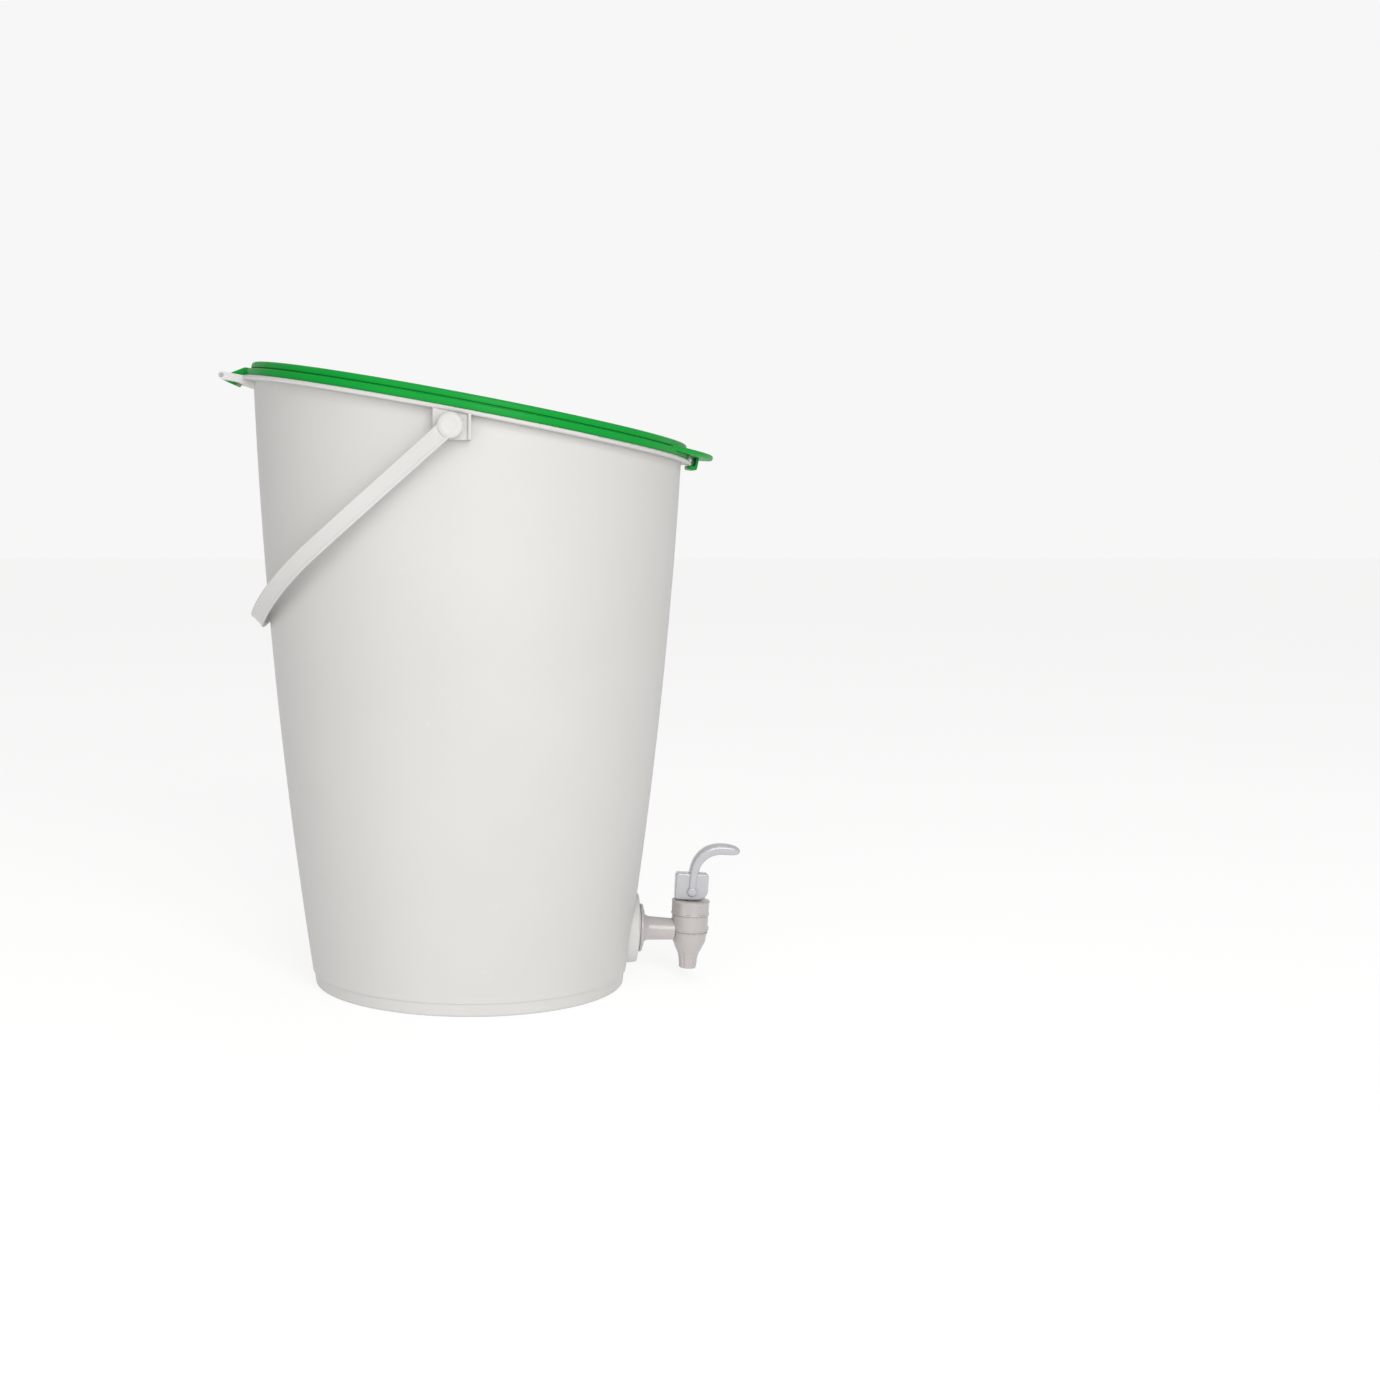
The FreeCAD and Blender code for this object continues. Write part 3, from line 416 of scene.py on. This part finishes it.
BUCKET = plastic("bucket_polypropylene", (0.587, 0.578, 0.562), (0.567, 0.557, 0.540), 0.5,
                 grain=0.018, specks=0.35, painted_edge_highlight=0.02)
LID = plastic("lid_green_polypropylene", (0.006, 0.325, 0.042), (0.005, 0.280, 0.035), 0.36,
              grain=0.012, sheen=0.2, painted_edge_highlight=0.05, painted_crevice_shade=0.3, painted_shade_reach_mm=2.5, ior=1.3)
HANDLE = plastic("handle_plastic_white", (0.585, 0.576, 0.562), (0.565, 0.555, 0.540), 0.42,
                 grain=0.015, painted_edge_highlight=0.03)
STRAINER = plastic("strainer_plastic_grey", (0.43, 0.42, 0.40), (0.41, 0.40, 0.38), 0.48,
                   grain=0.02, painted_edge_highlight=0.03, soften=0.4)
TAP_GREY = plastic("tap_plastic_grey", (0.455, 0.428, 0.415), (0.435, 0.408, 0.396), 0.27,
                   grain=0.008, sheen=0.5, coat=0.2, scuffs=0.25, painted_edge_highlight=0.03, painted_crevice_shade=0.8)
LEVER_WHITE = plastic("lever_plastic_cool", (0.45, 0.445, 0.468), (0.43, 0.425, 0.448), 0.14,
                      grain=0.005, sheen=0.6, coat=0.5, scuffs=0.2, painted_edge_highlight=0.02, painted_crevice_shade=0.85)
SILICONE = plastic("seal_silicone", (0.34, 0.335, 0.32), (0.31, 0.305, 0.29), 0.5,
                   grain=0.02, scuffs=0.1)
STEEL = steel("pin_stainless")

CAD_FINISH = {
    "bucket_shell": BUCKET, "lid_shell": LID, "lid_latch_hook": LID, "lid_seal_ring": SILICONE,
    "hinge_pin": STEEL, "carry_handle": HANDLE, "strainer_plate": STRAINER,
    "tap_body": TAP_GREY, "tap_bonnet": TAP_GREY, "tap_lever": LEVER_WHITE,
    "tap_lever_pin": STEEL, "tap_stem": TAP_GREY, "tap_seat_cup": SILICONE, "tap_spring": STEEL,
    "tap_outer_washer": BUCKET, "tap_inner_washer": SILICONE, "tap_back_nut": TAP_GREY,
}
for node_name, finish in CAD_FINISH.items():
    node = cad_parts[node_name]
    node.data.materials.clear()
    node.data.materials.append(finish)


def dress(piece, body, slot, material, *replaced):
    """Give a finished piece its material, its body and the CAD node it stands for."""
    piece.data.materials.clear()
    piece.data.materials.append(material)
    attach(piece, body)
    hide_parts(*replaced)


# ---------------------------------------------------------------- lid
LID_PROFILE = [
    (0, 6.2), (133.8, 6.2, 0.5), (134.5, 7.5, 0.5), (135.5, 7.5, 0.4), (135.8, 5.0, 0.6),
    (141.0, 5.0, 0.6), (141.4, 8.2, 0.5), (144.6, 8.2, 0.5), (144.6, 0, 0.4), (150.0, 0, 0.6),
    (150.0, 4.8, 1.0), (147.0, 4.65, 0.3), (146.8, 5.4, 0.3), (147.6, 5.7, 0.4),
    (147.6, 9.7, 2.6), (138.8, 9.7, 1.2), (137.0, 8.6, 1.4), (60, 8.7), (0, 8.7),
]
HINGE = (-163.2, -2.8)
TAB_ROOT = 145.4              # the tab starts inside the skirt, clear of the lid's channel
TONGUE_HALF, BARREL_HALF = 14.6, 14.7


def tab_outline():
    """Lens of the finger tab, with hollow fillets where it leaves the skirt."""
    lid, centre, radius, fillet = 150.0, 81.5, 85.0, 13.0
    x = ((lid + fillet) ** 2 - (radius + fillet) ** 2 + centre ** 2) / (2 * centre)
    y = math.sqrt((lid + fillet) ** 2 - x * x)
    at_lid = math.degrees(math.atan2(y, x))
    at_tab = math.degrees(math.atan2(y, x - centre))
    half = arc_points((x, y), fillet, 180 + at_tab, 180 + at_lid, 8)
    turn = math.radians(at_lid)
    half.append(Vector((TAB_ROOT * math.cos(turn), TAB_ROOT * math.sin(turn))))
    tip = arc_points((centre, 0), radius, -at_tab, at_tab, 40)[1:-1]
    low = [Vector((p.x, -p.y)) for p in reversed(half)]
    root = arc_points((0, 0), TAB_ROOT, at_lid, -at_lid, 30)[1:-1]
    return low + tip + half + root


def make_lid():
    """Turned cover with its finger tab and the hinge tongue round the pin."""
    cover = solid_of("lid_cover", lambda bm: lathe(bm, rounded(LID_PROFILE), 224), RIM)
    tab = solid_of("tab", lambda bm: prism(bm, tab_outline(), 1.7, 1.2, "XY", 5, 4.3), RIM)
    offsets = [(0, 2.2, 1.0), (2.2, 2.4, 2), (12.0, 8.4, 2), (18.2, 8.65), (18.2, 2.95),
               (9.7, 2.95, 0.5), (8.2, -4.6, 1.0), (1.0, -2.9, 2), (-0.6, -1.2, 1)]
    outline = rounded([(HINGE[0] + c[0], HINGE[1] + c[1], *c[2:]) for c in offsets])
    tongue = solid_of("tongue", lambda bm: prism(bm, outline, TONGUE_HALF, 0.5, "XZ", 3), RIM)
    pin_line = RIM @ Matrix.Translation((HINGE[0], 0, HINGE[1]))
    barrel = solid_of("barrel", lambda bm: lathe(bm, rod_profile(2.5, BARREL_HALF, 0.4), 32, "Y"),
                      pin_line)
    hole = solid_of("hole", lambda bm: lathe(bm, rod_profile(1.56, 30, 0), 24, "Y"), pin_line)
    combine(cover, [tab, tongue, barrel])
    combine(cover, [hole], "DIFFERENCE")
    dress(cover, "lid", "lid_plastic", LID, "lid_shell")


def rod_profile(radius, half, edge):
    """Closed profile of a rod along its axis, from -half to half."""
    return rounded([(0, -half), (radius, -half, edge), (radius, half, edge), (0, half)])


def make_latch_hook():
    """Leg under the tab, with a toe that grips under the flange."""
    corners = rounded([
        (154.6, 3.4), (154.6, -2.7, 0.7), (151.0, -2.7, 0.7), (151.0, -5.6, 1.2),
        (156.6, -5.6, 1.6), (156.6, 3.4)])
    hook = solid_of("lid_hook", lambda bm: prism(bm, corners, 14.0, 0.6, "XZ", 3), RIM)
    dress(hook, "lid", "lid_plastic", LID, "lid_latch_hook")


# ---------------------------------------------------------------- handle
BOW_RADIUS, BOW_CENTRE, ARM_SLOPE = 148.1, 31.9, math.radians(14.77)
DROOP_START, DROOP_RADIUS, DROOP_RISE = 116.0, 250.0, math.radians(1.5)
ARM_START, ARM_STEPS, BOW_STEPS = 3.0, 14, 48


def bail_level(x):
    """Height and slope of the strap's middle line: straight arms, then a slow droop."""
    if x <= DROOP_START:
        return -x * math.tan(DROOP_RISE), -math.tan(DROOP_RISE)
    along = x - DROOP_START - DROOP_RADIUS * math.sin(DROOP_RISE)
    fall = math.sqrt(DROOP_RADIUS ** 2 - along ** 2)
    level = DROOP_RADIUS * math.cos(DROOP_RISE) - DROOP_START * math.tan(DROOP_RISE) - fall
    return level, along / fall


def bail_path():
    """Plan of the strap from the near boss round to the far one: point and outward normal."""
    touch = BOW_CENTRE + BOW_RADIUS * math.sin(ARM_SLOPE)
    side = BOW_RADIUS * math.cos(ARM_SLOPE)
    arm_normal = Vector((math.sin(ARM_SLOPE), math.cos(ARM_SLOPE)))
    half = []
    for k in range(ARM_STEPS):
        x = ARM_START + (touch - ARM_START) * k / ARM_STEPS
        half.append((Vector((x, side + (touch - x) * math.tan(ARM_SLOPE))), arm_normal))
    for k in range(BOW_STEPS + 1):
        a = ARM_SLOPE + (math.pi / 2 - ARM_SLOPE) * k / BOW_STEPS
        normal = Vector((math.sin(a), math.cos(a)))
        half.append((Vector((BOW_CENTRE, 0)) + normal * BOW_RADIUS, normal))
    back = [(Vector((p.x, -p.y)), Vector((n.x, -n.y))) for p, n in reversed(half[:-1])]
    return half + back


def strap(bm):
    """Rounded strap with a slim raised bead along both edges of its outer face."""
    section = rounded([
        (-2.1, -5.5, 1.3), (2.1, -5.5, 1.3), (2.1, -4.0, 0.5), (1.75, -3.3, 0.6),
        (1.75, 3.3, 0.6), (2.1, 4.0, 0.5), (2.1, 5.5, 1.3), (-2.1, 5.5, 1.3)], step_deg=18)
    rings = []
    for point, normal in bail_path():
        ring = []
        for out, across in section:
            p = point + normal * out
            level, slope = bail_level(p.x)
            ring.append(bm.verts.new((p.x, p.y, level + across * math.hypot(1, slope))))
        rings.append(ring)
    skin(bm, rings)


def make_handle():
    """The strap with a dished round boss and an inward stud at each end."""
    handle = solid_of("bail_handle", strap, BAIL)
    boss = [(0, 145.2), (4.5, 145.2, 0.6), (4.5, 155.4, 0.3), (8.0, 155.4, 0.5), (8.0, 162.4, 2.4),
            (5.2, 163.3, 1.6), (3.4, 162.95, 1.6), (0, 162.9)]
    ends = [solid_of("boss", lambda bm: lathe(bm, rounded(boss, step_deg=10), 72, "Y"),
                     BAIL @ Matrix.Scale(sign, 4, (0, 1, 0))) for sign in (1, -1)]
    combine(handle, ends, smooth_deg=40)
    dress(handle, "handle", "handle_plastic", HANDLE, "carry_handle")


# ---------------------------------------------------------------- tap
def fluted(radius, along, angle):
    """Soft flutes down the spout's cone, outside only, fading out towards the barrel."""
    count, deepest, fade_top, fade_length, bore = 10, 0.07, -10.5, 6, 5.0
    if radius < bore:
        return radius
    depth = deepest * max(0.0, min(1.0, (fade_top - along) / fade_length))
    return radius * (1 - depth * (0.5 - 0.5 * math.cos(count * angle)) ** 2)


def make_tap_body():
    """Spout, barrel and neck in one turned ring, with the side shank, its flange and a nub."""
    upright = rounded([
        (5.8, -26.3, 0.5), (5.95, -24.2, 3), (6.35, -19.8, 6), (7.1, -16.4, 6),
        (9.3, -12.0, 6), (11.2, -7.6, 5), (11.9, -2.8, 3), (12.05, -1.4, 0.1), (12.6, -1.3, 0.2),
        (12.6, -0.6, 0.2), (12.15, -0.5, 0.1), (12.15, -0.1, 0.1), (12.7, 0.0, 0.2),
        (12.7, 0.8, 0.2), (12.45, 1.0, 0.1), (12.45, 11.0, 0.4), (11.0, 11.1), (11.0, 16.9),
        (9.4, 16.9), (9.4, -11.0, 3), (4.3, -11.6, 0.5), (4.3, -26.3, 0.3)], step_deg=9)
    body = solid_of("tap_chamber", lambda bm: lathe(bm, upright, 96, "Z", fluted), TAP)
    profile = [(0, -22), (8.0, -22, 0.8), (8.0, 1.4), (16.5, 1.4, 0.5), (16.5, 3.3, 0.7),
               (13.6, 3.4, 0.3), (13.3, 4.2, 0.4), (9.8, 4.2, 0.8), (8.2, 7.2, 4), (7.3, 25.6),
               (0, 25.6)]
    shank = rounded([(c[0], c[1] - TAP_AXIS, *c[2:]) for c in profile])
    inlet = [(0, -60), (5.0, -60), (5.0, -4), (0, -4)]
    nub = rounded([(0, 11), (1.5, 11), (1.5, 13.1, 0.7), (0, 13.1)])
    combine(body, [
        solid_of("shank", lambda bm: lathe(bm, shank, 80, "X"), TAP),
        solid_of("nub", lambda bm: lathe(bm, nub, 20, "X"), TAP @ Matrix.Translation((0, 0, 1.6)))])
    combine(body, [solid_of("inlet", lambda bm: lathe(bm, inlet, 48, "X"), TAP)], "DIFFERENCE")
    dress(body, "bucket", "tap_plastic", TAP_GREY, "tap_body")


def faceted(radius, along, angle):
    """Eight shallow flats round the collar, between its lower band and its rounded top."""
    turned, bore, low, high, flat = math.radians(10.8), 12.2, 12.3, 19.9, 12.45
    if radius < bore or not low < along < high:
        return radius
    turn = (angle + turned + math.pi / 8) % (math.pi / 4) - math.pi / 8
    return min(radius, flat / math.cos(turn))


def make_tap_bonnet():
    """Faceted screw collar with a shallow dish round the stem."""
    outline = rounded([
        (11.1, 11.1), (13.1, 11.1, 0.4), (13.1, 11.9), (13.1, 12.5), (13.1, 19.0),
        (13.1, 21.1, 1.5), (7.0, 21.1, 0.4), (6.6, 20.7, 0.3), (3.4, 20.7, 0.3), (3.1, 21.1, 0.3),
        (2.5, 21.1), (2.5, 18.1), (11.1, 18.1)], step_deg=11)
    collar = solid_of("tap_collar", lambda bm: lathe(bm, outline, 96, "Z", faceted), TAP)
    dress(collar, "bucket", "tap_plastic", TAP_GREY, "tap_bonnet")


def flowing(points, steps=6):
    """Smooth open curve through the points (Catmull-Rom)."""
    curve = []
    last = len(points) - 1
    for i in range(last):
        a, b, c, d = (Vector(points[max(0, min(last, i + j))]) for j in (-1, 0, 1, 2))
        for k in range(steps):
            t = k / steps
            curve.append(0.5 * (2 * b + (c - a) * t + (2 * a - 5 * b + 4 * c - d) * t * t
                                + (3 * b - a - 3 * c + d) * t ** 3))
    return curve + [Vector(points[-1])]


def finger_arm(bm):
    """Rounded bar that rises from the pin and curls forward.

    Each station is x, z, half the thickness and half the width.
    """
    sides, squareness = 44, 0.62
    stations = flowing([
        (0, -2.2, 2.2, 5.4), (0, 0, 2.95, 5.8), (0.1, 5, 3.0, 5.8), (0.5, 10.5, 3.15, 5.8),
        (1.9, 17.5, 3.35, 5.8), (4.8, 22.9, 3.6, 5.8), (9.7, 27.4, 3.8, 5.8),
        (16.2, 29.6, 3.8, 5.8), (23.0, 29.7, 3.7, 5.8), (28.0, 29.2, 3.1, 5.5),
        (30.4, 28.6, 2.1, 4.7), (31.2, 28.3, 1.0, 3.4)])
    rings = []
    for i, station in enumerate(stations):
        ahead = stations[min(i + 1, len(stations) - 1)] - stations[max(i - 1, 0)]
        normal = Vector((-ahead[1], ahead[0])).normalized()
        ring = []
        for k in range(sides):
            a = 2 * math.pi * k / sides
            up = math.copysign(abs(math.cos(a)) ** squareness, math.cos(a)) * station[2]
            across = math.copysign(abs(math.sin(a)) ** squareness, math.sin(a)) * station[3]
            ring.append(bm.verts.new((station[0] + normal.x * up, across,
                                      station[1] + normal.y * up)))
        rings.append(ring)
    skin(bm, rings)


def make_tap_lever():
    """Cam block with the finger arm, its round boss, and a slot for the stem's top."""
    block = rounded([(-11.5, -6.05, 2.2), (11.1, -6.05, 7.4), (11.1, 12.7, 2.2),
                     (-11.5, 12.7, 2.2)], step_deg=9)
    lever = solid_of("tap_handle", lambda bm: prism(bm, block, 4.5, 1.2, "XZ", 4), LEVER)
    slot = [Vector(p) for p in ((-4.0, -8), (13, -8), (13, 2.5), (2.6, 4.0), (-2.6, 4.0),
                                (-4.0, 2.6))]
    boss = rounded([(0, -6.4), (3.4, -6.4, 1.8), (3.4, 6.4, 1.8), (0, 6.4)], step_deg=10)
    combine(lever, [
        solid_of("arm", finger_arm, LEVER, 60),
        solid_of("boss", lambda bm: lathe(bm, boss, 48, "Y"), LEVER)], smooth_deg=38)
    combine(lever, [
        solid_of("slot", lambda bm: prism(bm, slot, 1.7, 0.05, "XZ", 1), LEVER),
        solid_of("pin_hole", lambda bm: lathe(bm, rod_profile(1.1, 5.0, 0), 24, "Y"), LEVER)],
        "DIFFERENCE", smooth_deg=38)
    dress(lever, "lever", "lever_plastic", LEVER_WHITE, "tap_lever")


def coil(bm):
    """Steel wire wound round the stem, from its collar up to the tap's deck."""
    low, high, radius, wire, turns = 6.55, 17.55, 5.0, 0.45, 5
    steps, sides = 36 * turns, 12
    rise = (high - low) / (2 * math.pi * turns)
    rings = []
    for i in range(steps + 1):
        a = 2 * math.pi * turns * i / steps
        out = Vector((math.cos(a), math.sin(a), 0))
        along = Vector((-out.y * radius, out.x * radius, rise)).normalized()
        up = along.cross(out)
        centre = out * radius + Vector((0, 0, low + (high - low) * i / steps))
        rings.append([bm.verts.new(centre + (out * math.cos(b) + up * math.sin(b)) * wire)
                      for b in (2 * math.pi * k / sides for k in range(sides))])
    skin(bm, rings)


def make_tap_spring():
    """The spring round the stem, in a mesh of its own."""
    spring = solid_of("tap_coil", coil, TAP, 60)
    dress(spring, "bucket", "pin_steel", STEEL, "tap_spring")
    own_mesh(spring)


make_lid()
make_latch_hook()
make_handle()
make_tap_body()
make_tap_bonnet()
make_tap_lever()
make_tap_spring()


# ---------------------------------------------------------------- studio
LOOK_DOWN_DEG = 5.625


def make_camera():
    """Side view from a little above, with the bucket left of the middle."""
    data = bpy.data.cameras.new("camera")
    data.lens = 51.48
    data.sensor_width = 36
    data.shift_x = 0.1598
    camera = bpy.data.objects.new("camera", data)
    camera.location = (0, -1.33636, 0.33077)
    camera.rotation_euler = (math.radians(90 - LOOK_DOWN_DEG), 0, 0)
    bpy.context.collection.objects.link(camera)
    bpy.context.scene.camera = camera


def softbox(name, place, aim, size, power):
    """A rectangular area light that the camera doesn't see."""
    data = bpy.data.lights.new(name, "AREA")
    data.shape = "RECTANGLE"
    data.size, data.size_y = size
    data.energy = power
    light = bpy.data.objects.new(name, data)
    light.location = place
    light.rotation_euler = (Vector(aim) - Vector(place)).to_track_quat("-Z", "Y").to_euler()
    light.visible_camera = False
    bpy.context.collection.objects.link(light)


def make_air():
    """Even white behind everything; as a light, dimmer from both sides and from overhead."""
    n = Nodes(bpy.data.worlds.new("studio_air"))
    side = n.add("SeparateXYZ", Vector=n.add("TexCoord").outputs["Generated"])
    towards = n.maths("POWER", n.maths("ABSOLUTE", side.outputs["X"]), 1.6)
    across = n.maths("MULTIPLY", towards, SIDE_DIM)
    overhead = n.maths("MULTIPLY", n.maths("MAXIMUM", side.outputs["Z"], 0.0), TOP_DIM)
    lit = n.maths("SUBTRACT", n.maths("SUBTRACT", 1.0, across), overhead)
    lit = n.maths("MAXIMUM", n.maths("MULTIPLY", lit, AIR), LEAST_AIR)
    seen = n.add("LightPath").outputs["Is Camera Ray"]
    shown = n.maths("MULTIPLY", seen, WHITE)
    hidden = n.maths("MULTIPLY", n.maths("SUBTRACT", 1.0, seen), lit)
    background = n.add("Background", Color=(1.0, 1.0, 0.997, 1),
                       Strength=n.maths("ADD", shown, hidden))
    n.add("OutputWorld", Surface=background.outputs[0])
    bpy.context.scene.world = n.owner


def make_studio():
    """Floor, room light and softboxes."""
    bm = bmesh.new()
    bmesh.ops.create_grid(bm, x_segments=2, y_segments=2, size=9.0)
    floor = new_object("studio_floor", bm)
    floor.data.materials.append(floor_material())
    make_air()
    softbox("key_box", (0.5, -2.0, 0.9), (0.0, 0, 0.22), (1.1, 1.3), 24)
    softbox("fill_box", (-1.1, -1.9, 0.7), (0, 0, 0.2), (1.0, 1.3), 5)
    softbox("top_box", (0.2, 0.2, 2.2), (0, 0, 0.3), (1.2, 1.2), 4)
    settings = bpy.context.scene.view_settings
    settings.view_transform = "Standard"
    settings.look = "None"


make_camera()
make_studio()
